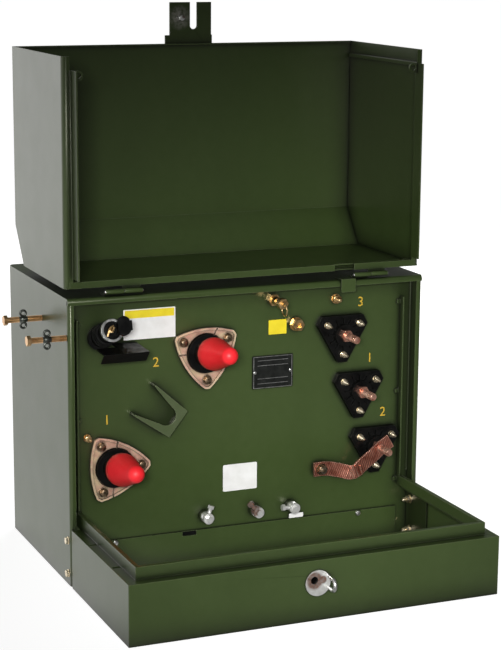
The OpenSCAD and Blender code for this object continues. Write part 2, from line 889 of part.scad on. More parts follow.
// Shelf under the fuse, sloping forwards, notched for the fuse, with its front edge folded down and back
module drip_shield() {
    fall = 3;
    lip_down = 24;
    lip_back = 24;
    lip_level_t = shield_t * norm([lip_down, lip_back]) / lip_down;
    notch_half = fuse_rib_r + 1;
    notch_out = fuse_flange_t + notch_half;
    color("black") difference() {
        on_plate(shield_at) rotate([90, 0, 90])
            translate([0, 0, -shield_w / 2])
                linear_extrude(shield_w)
                    polygon([
                        [0, 0], [-fall, shield_out], [-fall - lip_down, shield_out - lip_back],
                        [-fall - lip_down, shield_out - lip_back - lip_level_t],
                        [-fall - shield_t, shield_out - shield_t * lip_back / lip_down - lip_level_t],
                        [-shield_t, 0]
                    ]);
        on_plate([fuse_at[0], shield_at[1]])
            translate([-notch_half, -lip_down, -eps]) cube([2 * notch_half, 2 * lip_down, notch_out]);
    }
}

// Stepped relief valve with a hexagon root and end, and a pull ring that hangs from its stem
module relief_valve() {
    root_w = 24;
    root_t = 9;
    neck_r = valve_r - 2;
    end_w = 21;
    end_t = 16;
    stem_r = 4;
    stem_l = 12;
    ring_r = 13;
    wire_r = 1.6;
    color("darkgoldenrod") on_plate(valve_at) {
        cylinder(r = root_w / 2 / cos(30), h = root_t, $fn = 6);
        cylinder(r = valve_r, h = valve_l / 2);
        cylinder(r = neck_r, h = valve_l);
        translate([0, 0, valve_l - end_t]) cylinder(r = end_w / 2 / cos(30), h = end_t, $fn = 6);
        cylinder(r = stem_r, h = valve_l + stem_l);
        translate([0, wire_r - ring_r, valve_l + stem_l / 2])
            rotate([0, 90, 0])
                rotate_extrude()
                    translate([ring_r, 0]) circle(wire_r);
    }
}

// Filling plug with a socket in its hexagon
module fill_plug() {
    flange_r = 15;
    flange_t = 6;
    hex_w = 24;
    plug_l = 20;
    socket_w = 11;
    socket_d = 9;
    color("darkgoldenrod") on_plate(plug_at) difference() {
        union() {
            cylinder(r = flange_r, h = flange_t);
            cylinder(r = hex_w / 2 / cos(30), h = plug_l, $fn = 6);
        }
        translate([-socket_w / 2, -socket_w / 2, plug_l - socket_d])
            cube([socket_w, socket_w, socket_d + eps]);
    }
}

// Half of the parking stand's fork, from its middle to its outer edge
module stand_half() {
    notch_y = stand_w / 2;
    polygon([
        [0, 0], [stand_w / 2, 0], [stand_tip_w / 2, stand_l], [stand_tip_w / 2 - stand_t, stand_l],
        [stand_notch_r, notch_y], [0, notch_y]
    ]);
}

// Outer edge of that half, which is folded back to the terminal plate
module stand_edge() {
    polygon([
        [stand_w / 2, 0], [stand_tip_w / 2, stand_l],
        [stand_tip_w / 2 - stand_t, stand_l], [stand_w / 2 - stand_t, 0]
    ]);
}

// Fork with a round notch and tapered arms, turned on the terminal plate
module parking_stand() {
    color(paint) on_plate(stand_at) rotate(stand_turn) translate([0, -stand_l / 2, 0])
        for (s = [0, 1])
            mirror([s, 0, 0]) {
                translate([0, 0, stand_out - stand_t]) linear_extrude(stand_t) difference() {
                    stand_half();
                    translate([0, stand_w / 2]) circle(stand_notch_r);
                }
                linear_extrude(stand_out) stand_edge();
                cube([stand_w / 2, stand_t, stand_out]);
            }
}

module rating_plate() {
    color("black") on_plate(rating_at)
        linear_extrude(rating_t)
            square([rating_w, rating_h], center = true);
}

// Bolts with hexagon heads and wing nuts that stand out of the tank's left side
module left_lifting_bolts() {
    head_r = lift_head_w / 2 / cos(30);
    nut_r = 8;
    nut_t = 9;
    wing_r = 6;
    wire_r = 2.5;
    nut_at = lift_out * 0.48;
    color("darkgoldenrod") place()
        for (i = [0, 1])
            translate([-half_w, lift_y[i], lift_z[i]]) rotate([0, -90, 0]) {
                cylinder(r = lift_r, h = lift_out);
                translate([0, 0, lift_out]) cylinder(r = head_r, h = lift_head_t, $fn = 6);
                translate([0, 0, nut_at]) cylinder(r = nut_r, h = nut_t);
                for (s = [-1, 1])
                    translate([s * (nut_r + wing_r - 1), 0, nut_at + nut_t / 2])
                        rotate([90, 0, 0])
                            rotate_extrude()
                                translate([wing_r, 0]) circle(wire_r);
            }
}

// Outline of the closed hood from the side, as y and z
module hood_outline(inset) {
    roof_z = tank_h - inset;
    front_y = hood_front + inset;
    polygon([
        [hood_back, roof_z],
        [hood_front + slope_d + inset * tan(slope_a / 2), roof_z],
        [front_y, tank_h - slope_h - inset * tan(45 - slope_a / 2)],
        [front_y, hood_low],
        [hood_back, hood_low]
    ]);
}

// Roof, slope and front of the hood, bent from one sheet with its edges folded in and notched for the clip
module hood_shell() {
    flange_w = half_w - hood_fold_r;
    span = half_w - hood_sheet;
    color(paint) on_hood() difference() {
        union() {
            along_x(-span, span) difference() {
                hood_outline(0);
                hood_outline(hood_sheet);
                translate([hood_front + hood_sheet, hood_low - eps])
                    square([sill_d - hood_sheet, tank_h - slope_h - hood_low - hood_sheet]);
            }
            along_x(-flange_w, flange_w) {
                translate([hood_back - hood_sheet, flange_top]) square([hood_sheet, roof_flange]);
                translate([hood_back - roof_lip, flange_top]) square([roof_lip, hood_sheet]);
            }
            along_x(-span, span)
                translate([hood_front, hood_low]) square([front_hem, hood_sheet]);
        }
        translate([clip_x - clip_w / 2 - clip_room, hood_back - clip_room, flange_top - eps])
            cube([clip_w + 2 * clip_room, clip_room + eps, roof_flange + 2 * eps]);
    }
}

// Plan of a side of the hood up to its rear fold, left side
module hood_side_section() {
    translate([-half_w, hood_front]) square([hood_sheet, sill_d - hood_gap - hood_fold_r]);
    translate([-half_w + hood_fold_r, hood_back - hood_fold_r]) mirror([0, 1]) bend(hood_fold_r, hood_sheet);
}

// Flat of the edge flange
module hood_flange_section(width) {
    translate([-half_w + hood_fold_r, hood_back - hood_sheet]) square([width - hood_fold_r, hood_sheet]);
}

// Tongue that is bent back from the flange and tucks in beside the guide strip
module hood_tongue_section() {
    inner_r = 2;
    translate([-tongue_x - inner_r, hood_back + inner_r])
        mirror([1, 0])
            bend(inner_r + hood_sheet, hood_sheet);
    translate([-tongue_x, hood_back + inner_r]) square([hood_sheet, hood_tongue - hood_back - inner_r]);
}

module hood_side(s) {
    lip_relief = 2;
    color(paint) on_hood() side(s) {
        intersection() {
            translate([0, 0, hood_low]) linear_extrude(tank_h - hood_low) hood_side_section();
            union() {
                along_x(-half_w - eps, -half_w + hood_sheet) hood_outline(0);
                along_x(-half_w, half_w) hood_outline(hood_sheet);
            }
        }
        translate([0, 0, hood_low])
            linear_extrude(flange_top - hood_low)
                hood_flange_section(hood_flange - lip_relief);
        translate([0, 0, rail_z]) linear_extrude(flange_top - rail_z) hood_flange_section(hood_flange);
        translate([0, 0, rail_z]) linear_extrude(tongue_top - rail_z) hood_tongue_section();
    }
}

module hood_left_side() { hood_side(-1); }
module hood_right_side() { hood_side(1); }

// Rails inside the hood's sides, and the eyes on its tongues
module hood_rails() {
    rail_front = hood_front + hood_sheet + front_hem;
    rail_back = hood_back - hood_fold_r;
    eye_r = 10;
    eye_hole_r = 5.5;
    eye_t = 4;
    eye_y = 6;
    color(paint) on_hood()
        for (s = [-1, 1])
            side(s) {
                translate([-half_w + hood_sheet, rail_front, rail_z])
                    cube([rail_s, rail_back - rail_front, rail_s]);
                translate([hood_sheet - tongue_x, eye_y, rail_z + eye_r])
                    rotate([90, 0, 0])
                        difference() {
                            union() {
                                translate([eye_r, 0, 0]) cylinder(r = eye_r, h = eye_t);
                                translate([0, -eye_r, 0]) cube([eye_r, 2 * eye_r, eye_t]);
                            }
                            translate([eye_r, 0, -eps]) cylinder(r = eye_hole_r, h = eye_t + 2 * eps);
                        }
            }
}

// Joggled tab that hangs below the closed hood, with its staple slot and a wider root
module latch_tab() {
    foot_h = 26;
    root_h = 18;
    root_side = [11, 2];
    out = tab_in + tab_t;
    color(paint) on_hood() difference() {
        translate([tab_x - tab_w / 2, hood_front, 0]) {
            translate([0, -out, tab_low]) cube([tab_w, tab_t, tab_l + foot_h]);
            translate([-root_side[0], -out, hood_low - root_h])
                cube([tab_w + root_side[0] + root_side[1], tab_t, root_h + foot_h]);
            translate([0, -tab_in, hood_low + foot_h - tab_t]) cube([tab_w, tab_in, tab_t]);
        }
        translate([staple_x - slot_w / 2, hood_front - out - eps, tab_low - eps])
            cube([slot_w, tab_t + 2 * eps, slot_l + eps]);
        translate([staple_x, hood_front, tab_low + slot_l])
            rotate([90, 0, 0])
                cylinder(r = slot_w / 2, h = out + eps);
        translate([bolt_x, hood_front, latch_bolt_z])
            rotate([90, 0, 0])
                cylinder(r = latch_bolt_r + seat, h = out + eps);
    }
}

module latch_bolt() {
    head_r = latch_bolt_r + 5;
    head_t = 8;
    reach = 22;
    head_y = hood_front - tab_in - tab_t;
    color("silver") on_hood() translate([bolt_x, head_y, latch_bolt_z]) rotate([90, 0, 0]) {
        cylinder(r = head_r, h = head_t);
        translate([0, 0, -reach]) cylinder(r = latch_bolt_r, h = reach);
    }
}

tank_left_side();
tank_right_side();
tank_back();
tank_cover();
tank_bottom();
terminal_plate();
kick_plate();
left_guide_strip();
right_guide_strip();
sill_front();
sill_left();
sill_right();
left_sill_bracket();
right_sill_bracket();
lock_plate();
padlock_staple();
tank_hinge_leaves();
hinge_pins();
rim_clip();
lower_clamp();
lower_well();
lower_dust_cap();
upper_clamp();
upper_well();
upper_dust_cap();
top_secondary_bushing();
middle_secondary_bushing();
bottom_secondary_bushing();
top_stud();
middle_stud();
bottom_stud();
ground_strap();
strap_boss();
ground_bosses();
ground_connectors();
fuse_housing();
fuse_cap();
drip_shield();
relief_valve();
fill_plug();
parking_stand();
rating_plate();
left_lifting_bolts();
hood_shell();
hood_left_side();
hood_right_side();
hood_rails();
latch_tab();
latch_bolt();
hood_hinge_leaves();
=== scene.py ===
import json
import math

import bmesh
import bpy
from mathutils import Matrix, Vector
from mathutils.bvhtree import BVHTree


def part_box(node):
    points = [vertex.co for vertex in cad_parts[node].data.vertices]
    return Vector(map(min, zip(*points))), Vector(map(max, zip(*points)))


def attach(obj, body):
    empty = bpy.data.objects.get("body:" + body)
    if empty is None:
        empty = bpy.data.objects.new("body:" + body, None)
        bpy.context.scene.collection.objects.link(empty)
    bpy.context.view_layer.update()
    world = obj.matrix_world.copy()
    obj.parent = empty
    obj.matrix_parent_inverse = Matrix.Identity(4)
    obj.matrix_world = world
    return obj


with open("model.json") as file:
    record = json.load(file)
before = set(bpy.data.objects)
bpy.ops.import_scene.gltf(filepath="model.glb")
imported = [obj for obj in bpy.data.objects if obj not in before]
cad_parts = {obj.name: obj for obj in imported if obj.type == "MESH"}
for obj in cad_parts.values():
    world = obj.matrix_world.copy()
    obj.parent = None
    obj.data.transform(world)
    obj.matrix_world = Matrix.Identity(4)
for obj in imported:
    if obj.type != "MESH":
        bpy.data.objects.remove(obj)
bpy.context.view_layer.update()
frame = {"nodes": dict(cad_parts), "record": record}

MM = 0.001
NODES = frame["nodes"]
CABINET = "cabinet"

# Planes and places read from the frame, in metres
RIM_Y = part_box("tank_left_side")[0].y
PLATE_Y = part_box("terminal_plate")[0].y


def middle(node):
    """Centre of a CAD node's box."""
    low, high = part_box(node)
    return (low + high) / 2


MIDDLE_X = middle("terminal_plate").x


# Mesh helpers: each adds to a bmesh, drawn along +Z and placed by a matrix


def outwards(x, z, out=0.0, turn=0.0):
    """Matrix on the terminal plate at x and z in millimetres, with +Z towards the front."""
    place = Matrix.Translation((MIDDLE_X + x * MM, PLATE_Y - out * MM, z * MM))
    return place @ Matrix.Rotation(math.pi / 2, 4, "X") @ Matrix.Rotation(turn, 4, "Z")


def facing(origin, direction):
    """Matrix at a point in metres with +Z along a direction."""
    return Matrix.Translation(origin) @ Vector(direction).to_track_quat("Z", "Y").to_matrix().to_4x4()


def add_rings(bm, matrix, rings):
    """Closed skin over rings of points, all with the same count."""
    made = [[bm.verts.new(matrix @ Vector(p)) for p in ring] for ring in rings]
    count = len(made[0])
    for a, b in zip(made, made[1:]):
        for i in range(count):
            j = (i + 1) % count
            bm.faces.new((a[i], a[j], b[j], b[i]))
    bm.faces.new(list(reversed(made[0])))
    bm.faces.new(made[-1])


def circle(r, z, count):
    """Ring of points about +Z, r and z in millimetres."""
    return [
        (r * MM * math.cos(2 * math.pi * i / count), r * MM * math.sin(2 * math.pi * i / count), z * MM)
        for i in range(count)
    ]


def add_lathe(bm, matrix, profile, count=32):
    """Turned solid from (radius, height) pairs in millimetres."""
    add_rings(bm, matrix, [circle(r, z, count) for r, z in profile])


HEXAGON_POINTS = 36
HEXAGON_CHAMFER = math.radians(30)
# Radius of a hexagon's flat top as a share of its width across flats
HEXAGON_FLAT = 0.48


def hexagon_ring(across, z_at):
    """Hexagon outline with a height for each radius, in millimetres."""
    points = []
    for i in range(HEXAGON_POINTS):
        angle = 2 * math.pi * i / HEXAGON_POINTS
        r = across / 2 / math.cos(angle % (math.pi / 3) - math.pi / 6)
        points.append((r * MM * math.cos(angle), r * MM * math.sin(angle), z_at(r) * MM))
    return points


def add_hexagon(bm, matrix, across, low, high, both=False):
    """Hexagon nut or head with its upper corners chamfered, or both ends' corners."""
    flat = HEXAGON_FLAT * across
    slope = math.tan(HEXAGON_CHAMFER)

    def top(r):
        return high - max(0, r - flat) * slope

    def bottom(r):
        return low + (max(0, r - flat) * slope if both else 0)

    rings = [circle(flat, low, HEXAGON_POINTS)] if both else []
    rings += [hexagon_ring(across, bottom), hexagon_ring(across, top)]
    rings.append(circle(flat, high, HEXAGON_POINTS))
    add_rings(bm, matrix, rings)


def thread(r, low, high, pitch=2.0, depth=0.9, round_end=2.0):
    """Profile of a threaded rod with a rounded end."""
    profile = [(r - depth, low)]
    turns = int((high - round_end - low) / pitch)
    for i in range(turns):
        z = low + i * pitch
        profile += [(r, z + 0.35 * pitch), (r, z + 0.55 * pitch), (r - depth, z + 0.95 * pitch)]
    profile += [(r - depth, high - round_end), (r - depth - 0.35 * round_end, high - 0.3 * round_end)]
    profile += [(r - depth - round_end, high)]
    return profile


def add_tube(bm, points, r, around=12):
    """Round bar along points in metres, r in millimetres."""
    rings = []
    for i, p in enumerate(points):
        way = Vector(points[min(i + 1, len(points) - 1)]) - Vector(points[max(i - 1, 0)])
        turn = facing(p, way)
        rings.append([turn @ Vector(q) for q in circle(r, 0, around)])
    add_rings(bm, Matrix.Identity(4), rings)


def add_slab(bm, matrix, outline, low, high, edge=0.0):
    """Flat plate from an outline in millimetres, its upper edge chamfered."""
    centre_x = sum(x for x, y in outline) / len(outline)
    centre_y = sum(y for x, y in outline) / len(outline)
    reach = max(max(abs(x - centre_x), abs(y - centre_y)) for x, y in outline)

    def ring(share, z):
        return [
            ((centre_x + (x - centre_x) * share) * MM, (centre_y + (y - centre_y) * share) * MM, z * MM)
            for x, y in outline
        ]

    rings = [ring(1, low), ring(1, high - edge)]
    if edge:
        rings.append(ring(1 - edge / reach, high))
    add_rings(bm, matrix, rings)


def rounded_rectangle(w, h, r, steps=6):
    """Outline of a rectangle with round corners, in millimetres."""
    points = []
    for i, (sx, sy) in enumerate(((1, 1), (-1, 1), (-1, -1), (1, -1))):
        for k in range(steps + 1):
            a = math.pi / 2 * (i + k / steps)
            points.append((sx * (w / 2 - r) + r * math.cos(a), sy * (h / 2 - r) + r * math.sin(a)))
    return points


SHARP_FROM = math.radians(35)


def piece(name, bm, material, body=CABINET):
    """Turns a bmesh into a piece that rides on a body."""
    bmesh.ops.recalc_face_normals(bm, faces=bm.faces)
    mesh = bpy.data.meshes.new(name)
    bm.to_mesh(mesh)
    bm.free()
    mesh.materials.append(material)
    mesh.shade_smooth()
    mesh.set_sharp_from_angle(angle=SHARP_FROM)
    made = bpy.data.objects.new(name, mesh)
    bpy.context.scene.collection.objects.link(made)
    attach(made, body)


# Materials


RANGE_SOCKETS = ("From Min", "From Max", "To Min", "To Max")
# Where most of a noise texture's values lie
NOISE_LOW, NOISE_HIGH = 0.3, 0.7
# Agreement of the bevelled normal with the face's own where an edge starts to show and where it shows fully
EDGE_STARTS, EDGE_FULL = 0.99, 0.91
# Ambient occlusion on an open face and deep in a corner
OPEN_FACE, DEEP_CORNER = 0.94, 0.48


class Nodes:
    """Helpers that add shader nodes to a tree."""

    def __init__(self, tree):
        self.tree = tree

    def node(self, kind, **values):
        made = self.tree.nodes.new(kind)
        for key, value in values.items():
            setattr(made, key, value)
        return made

    def link(self, source, target):
        self.tree.links.new(source, target)

    def sums(self, operation, a, b):
        """One step of arithmetic on values or sockets."""
        made = self.node("ShaderNodeMath", operation=operation)
        for socket, value in zip(made.inputs, (a, b)):
            if isinstance(value, (int, float)):
                socket.default_value = value
            else:
                self.link(value, socket)
        return made.outputs["Value"]

    def mapped(self, source, start, stop, low=0.0, high=1.0, steps="LINEAR"):
        """Maps start..stop to low..high and holds the ends."""
        made = self.node("ShaderNodeMapRange", interpolation_type=steps)
        for socket, number in zip(RANGE_SOCKETS, (start, stop, low, high)):
            made.inputs[socket].default_value = number
        self.link(source, made.inputs["Value"])
        return made.outputs["Result"]


class Surface(Nodes):
    """A node material with a Principled shader and helpers for procedural detail."""

    def __init__(self, name, **values):
        self.material = bpy.data.materials.new(name)
        self.material.use_nodes = True
        super().__init__(self.material.node_tree)
        self.shader = self.tree.nodes["Principled BSDF"]
        for socket, value in values.items():
            self.shader.inputs[socket.replace("_", " ")].default_value = value
        self.place = self.node("ShaderNodeTexCoord").outputs["Object"]

    def noise(self, scale, detail=3.0, rough=0.5, stretch=None):
        made = self.node("ShaderNodeTexNoise")
        made.inputs["Scale"].default_value = scale
        made.inputs["Detail"].default_value = detail
        made.inputs["Roughness"].default_value = rough
        source = self.place
        if stretch:
            mapping = self.node("ShaderNodeMapping")
            mapping.inputs["Scale"].default_value = stretch
            self.link(source, mapping.inputs["Vector"])
            source = mapping.outputs["Vector"]
        self.link(source, made.inputs["Vector"])
        return made.outputs["Fac"]

    def ramp(self, source, stops):
        """Colours by value, from (position, colour) pairs."""
        made = self.node("ShaderNodeValToRGB")
        elements = made.color_ramp.elements
        while len(elements) < len(stops):
            elements.new(0.5)
        for element, (at, colour) in zip(elements, stops):
            element.position = at
            element.color = (*colour, 1)
        self.link(source, made.inputs["Fac"])
        return made.outputs["Color"]

    def span(self, source, low, high):
        """Maps the usual values of a noise texture to low..high."""
        return self.mapped(source, NOISE_LOW, NOISE_HIGH, low, high)

    def mix(self, factor, a, b):
        """Colour a where the factor is 0 and b where it is 1."""
        made = self.node("ShaderNodeMix", data_type="RGBA")
        for key, value in (("Factor", factor), ("A", a), ("B", b)):
            socket = [s for s in made.inputs if s.name == key and s.enabled][0]
            if isinstance(value, tuple):
                socket.default_value = (*value, 1)
            else:
                self.link(value, socket)
        return [s for s in made.outputs if s.enabled][0]

    def edges(self, radius):
        """1 on edges, 0 on flats, with the radius in millimetres."""
        bevel = self.node("ShaderNodeBevel", samples=4)
        bevel.inputs["Radius"].default_value = radius * MM
        flat = self.node("ShaderNodeNewGeometry").outputs["Normal"]
        dot = self.node("ShaderNodeVectorMath", operation="DOT_PRODUCT")
        self.link(bevel.outputs["Normal"], dot.inputs[0])
        self.link(flat, dot.inputs[1])
        return self.mapped(dot.outputs["Value"], EDGE_STARTS, EDGE_FULL)

    def corners(self, reach, most):
        """Rises to most in corners and close to what stands on a face, 0 in the open: the mask where shade is
        painted.
        """
        shut = self.node("ShaderNodeAmbientOcclusion", samples=8)
        shut.inputs["Distance"].default_value = reach * MM
        return self.mapped(shut.outputs["AO"], OPEN_FACE, DEEP_CORNER, 0.0, most)

    def near(self, point, reach, soft):
        """1 within reach of a point in metres, fading to 0 over a soft margin."""
        away = self.node("ShaderNodeVectorMath", operation="DISTANCE")
        self.link(self.place, away.inputs[0])
        away.inputs[1].default_value = point
        return self.mapped(away.outputs["Value"], reach, reach + soft, 1.0, 0.0)

    def bump(self, source, strength, distance):
        """Raises the surface by up to a distance in millimetres."""
        made = self.node("ShaderNodeBump")
        made.inputs["Strength"].default_value = strength
        made.inputs["Distance"].default_value = distance * MM
        self.link(source, made.inputs["Height"])
        self.link(made.outputs["Normal"], self.shader.inputs["Normal"])

    def colour(self, source):
        self.link(source, self.shader.inputs["Base Color"])

    def roughness(self, source):
        self.link(source, self.shader.inputs["Roughness"])


def green_paint(name="green_paint", worn=None, shade=1.0, dust=0.0):
    """Semi-gloss dark green paint: mottled, faintly streaked, lighter on edges as edge wear with a painted
    highlight, and darker in corners as painted shade.
    """
    s = Surface(name, IOR=1.5, Specular_Tint=(1.0, 1.0, 0.82, 1.0))

    def tone(r, g, b):
        return r * shade, g * shade, b * shade

    base = s.ramp(s.noise(2.2, 4), [(0.3, tone(0.038, 0.062, 0.016)), (0.7, tone(0.049, 0.077, 0.022))])
    mottled = s.mix(s.span(s.noise(55, 5), 0.0, 0.3), base, tone(0.059, 0.089, 0.029))
    streaks = s.span(s.noise(9, 4, stretch=(1, 1, 0.07)), 0.0, 0.28)
    streaked = s.mix(streaks, mottled, tone(0.032, 0.052, 0.014))
    dusty = s.mix(s.span(s.noise(30, 4), 0.5 * dust, dust), streaked, (0.13, 0.14, 0.10))
    # Painted highlight along edges, partly edge wear: edges lighten towards a pale green
    colour = s.mix(s.span(s.edges(2.4), 0.0, 0.6), dusty, tone(0.14, 0.17, 0.09))
    # Painted shade: darker in corners, narrow gaps and close to what stands on the face
    colour = s.mix(s.corners(60, 0.75), colour, tone(0.008, 0.011, 0.005))
    colour = s.mix(s.corners(12, 0.85), colour, tone(0.004, 0.006, 0.003))
    if worn:
        bare = s.sums("MULTIPLY", s.near(*worn), s.span(s.noise(140, 5), 0.0, 1.0))
        colour = s.mix(bare, colour, (0.34, 0.33, 0.29))
    s.colour(colour)
    s.roughness(s.span(s.noise(14, 5), 0.305, 0.335))
    s.bump(s.noise(420, 2), 0.10, 0.15)
    return s.material


def black_polymer():
    """Dull black moulding, a little paler on its edges."""
    s = Surface("black_polymer", IOR=1.45, Specular_IOR_Level=0.16)
    base = s.ramp(s.noise(30, 5), [(0.3, (0.0016, 0.0016, 0.0015)), (0.75, (0.005, 0.005, 0.0045))])
    s.colour(s.mix(s.span(s.edges(1.2), 0.0, 0.5), base, (0.02, 0.02, 0.018)))
    s.roughness(s.span(s.noise(60, 4), 0.34, 0.55))
    s.bump(s.noise(700, 2), 0.18, 0.15)
    return s.material


def red_plastic():
    """Red of the dust caps."""
    s = Surface("red_plastic", IOR=1.45)
    s.colour(s.ramp(s.noise(35, 4), [(0.3, (0.92, 0.018, 0.026)), (0.7, (0.99, 0.030, 0.040))]))
    s.roughness(s.span(s.noise(40, 4), 0.40, 0.54))
    s.bump(s.noise(500, 2), 0.12, 0.15)
    return s.material


def metal(name, dark, light, rough, scale=60, grain=None, bump=0.1, metallic=1.0):
    """Metal mottled between two tones, brighter on its edges."""
    s = Surface(name, Metallic=metallic)
    tone = s.ramp(s.noise(scale, 5), [(0.28, dark), (0.72, light)])
    s.colour(s.mix(s.span(s.edges(0.8), 0.0, 0.4), tone, tuple(min(1, c * 1.25) for c in light)))
    s.roughness(s.span(s.noise(scale * 2, 4), rough - 0.07, rough + 0.1))
    s.bump(s.noise(500, 3, stretch=grain), bump, 0.15)
    return s.material


def clamp_alloy():
    """Plated clamp metal that shifts between pink, gold and copper, lighter on edges as edge wear with a
    painted highlight, and darker in corners as painted shade.
    """
    s = Surface("clamp_alloy", Metallic=0.5)
    tint = s.ramp(
        s.noise(34, 5),
        [
            (0.28, (0.52, 0.25, 0.18)),
            (0.46, (0.84, 0.52, 0.38)),
            (0.6, (0.88, 0.68, 0.42)),
            (0.76, (0.60, 0.31, 0.24)),
        ],
    )
    # Lighter on edges: edge wear with a painted highlight
    worn = s.mix(s.span(s.edges(1.8), 0.0, 0.75), tint, (0.98, 0.88, 0.70))
    # Painted shade: darker in corners and crevices
    s.colour(s.mix(s.corners(9, 0.95), worn, (0.035, 0.016, 0.010)))
    s.roughness(s.span(s.noise(80, 4), 0.30, 0.46))
    s.bump(s.noise(260, 4), 0.22, 0.2)
    return s.material


def braided_copper():
    """Copper braid: fine strands, darker between them as painted shade, and brighter on the strap's edges as
    a painted highlight.
    """
    s = Surface("braided_copper", Metallic=0.85)
    mapping = s.node("ShaderNodeMapping")
    mapping.inputs["Rotation"].default_value = (0.0, 0.35, 0.0)
    s.link(s.place, mapping.inputs["Vector"])
    wave = s.node("ShaderNodeTexWave", bands_direction="X")
    wave.inputs["Scale"].default_value = 80.0
    wave.inputs["Distortion"].default_value = 2.5
    wave.inputs["Detail"].default_value = 2.0
    wave.inputs["Detail Scale"].default_value = 2.0
    s.link(mapping.outputs["Vector"], wave.inputs["Vector"])
    strands = wave.outputs["Fac"]
    tone = s.ramp(s.noise(50, 4), [(0.3, (0.36, 0.10, 0.06)), (0.7, (0.80, 0.35, 0.25))])
    # Painted shade: darker in the gaps between strands
    woven = s.mix(s.span(strands, 0.75, 0.0), tone, (0.10, 0.03, 0.02))
    # Painted highlight: brighter along the strap's edges
    s.colour(s.mix(s.span(s.edges(2.4), 0.0, 0.8), woven, (0.95, 0.60, 0.48)))
    s.roughness(s.span(s.noise(90, 4), 0.34, 0.46))
    s.bump(strands, 0.6, 0.5)
    return s.material


def rusted_zinc(name, places):
    """Bright zinc-plated steel with brown rust round some places, each with its reach in millimetres."""
    s = Surface(name)
    tone = s.ramp(s.noise(60, 5), [(0.28, (0.60, 0.60, 0.57)), (0.72, (0.93, 0.93, 0.90))])
    about = 0.0
    for at, reach in places:
        about = s.sums("MAXIMUM", s.near(at, reach * MM, 0.4 * reach * MM), about)
    rust = s.sums("MULTIPLY", about, s.span(s.noise(150, 6, 0.65), 0.75, 1.0))
    brown = s.ramp(s.noise(300, 4), [(0.3, (0.02, 0.006, 0.003)), (0.7, (0.15, 0.048, 0.014))])
    s.colour(s.mix(rust, tone, brown))
    clean = s.sums("SUBTRACT", 1.0, rust)
    s.link(s.sums("MULTIPLY", clean, 0.6), s.shader.inputs["Metallic"])
    s.link(s.sums("MULTIPLY", clean, 0.5), s.shader.inputs["Specular IOR Level"])
    s.roughness(s.span(rust, 0.30, 0.7))
    s.bump(s.noise(300, 5), 0.2, 0.2)
    return s.material


def lifting_brass(nut_low, nut_high):
    """Brass bolts whose wing nuts, between two places along X, are dark zinc."""
    s = Surface("lifting_brass", Metallic=1.0)
    parts = s.node("ShaderNodeSeparateXYZ")
    s.link(s.place, parts.inputs["Vector"])
    above = s.sums("GREATER_THAN", parts.outputs["X"], nut_low)
    below = s.sums("LESS_THAN", parts.outputs["X"], nut_high)
    brass = s.ramp(s.noise(60, 5), [(0.28, (0.46, 0.25, 0.10)), (0.72, (0.80, 0.52, 0.27))])
    zinc = s.ramp(s.noise(90, 5), [(0.3, (0.05, 0.055, 0.05)), (0.7, (0.16, 0.17, 0.15))])
    s.colour(s.mix(s.sums("MULTIPLY", above, below), brass, zinc))
    s.roughness(s.span(s.noise(120, 4), 0.26, 0.42))
    s.bump(s.noise(500, 3), 0.12, 0.15)
    return s.material


def sticker(name, colour, shade):
    """Printed film or flat paint between two close tones."""
    s = Surface(name, IOR=1.45)
    s.colour(s.ramp(s.noise(45, 4), [(0.3, shade), (0.7, colour)]))
    s.roughness(s.span(s.noise(70, 3), 0.4, 0.55))
    s.bump(s.noise(300, 2), 0.06, 0.1)
    return s.material


def black_plate():
    """Dark anodised plate."""
    s = Surface("black_plate", Metallic=0.6)
    s.colour(s.ramp(s.noise(90, 5), [(0.3, (0.008, 0.009, 0.008)), (0.75, (0.024, 0.026, 0.023))]))
    s.roughness(s.span(s.noise(50, 4), 0.38, 0.55))
    s.bump(s.noise(600, 2, stretch=(1, 1, 0.1)), 0.08, 0.1)
    return s.material


MATERIALS = {
    "green_paint": green_paint(),
    "zinc_plated_steel": metal("zinc_plated_steel", (0.46, 0.46, 0.44), (0.80, 0.80, 0.78), 0.32),
    "clamp_alloy": clamp_alloy(),
    "black_polymer": black_polymer(),
    "red_plastic": red_plastic(),
    "copper": metal(
        "copper", (0.60, 0.20, 0.13), (0.97, 0.60, 0.45), 0.24, grain=(0.15, 1, 1), metallic=0.9
    ),
    "brass": metal("brass", (0.50, 0.30, 0.11), (0.86, 0.62, 0.32), 0.3),
    "black_plate": black_plate(),
}
GREEN = MATERIALS["green_paint"]
ZINC = MATERIALS["zinc_plated_steel"]
COPPER = MATERIALS["copper"]
BRASS = MATERIALS["brass"]
BLACK = MATERIALS["black_polymer"]
DARK_BRONZE = metal("dark_bronze", (0.05, 0.035, 0.02), (0.42, 0.30, 0.19), 0.34, scale=160)
GOLD_ZINC = metal("gold_zinc", (0.52, 0.42, 0.26), (0.86, 0.76, 0.58), 0.3)
WHITE_STICKER = sticker("white_sticker", (0.88, 0.88, 0.86), (0.78, 0.78, 0.75))
YELLOW_STICKER = sticker("yellow_sticker", (0.88, 0.72, 0.03), (0.78, 0.62, 0.02))
# Painted shade: a darker copy of the green paint for the sill brackets, so the gaps beside the sill read dark
SHADED_BRACKET_GREEN = green_paint("bracket_shaded_paint", shade=0.35)
YELLOW_PAINT = sticker("yellow_paint", (0.70, 0.46, 0.05), (0.55, 0.35, 0.03))

# Where the latch bolt meets the sill when the hood is shut
LOCK_HOLE = middle("latch_bolt")
LOCK_HOLE.z = 2 * middle("hinge_pins").z - LOCK_HOLE.z
LOCK_HOLE.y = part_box("lock_plate")[0].y
TANK_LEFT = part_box("tank_left_side")[0].x
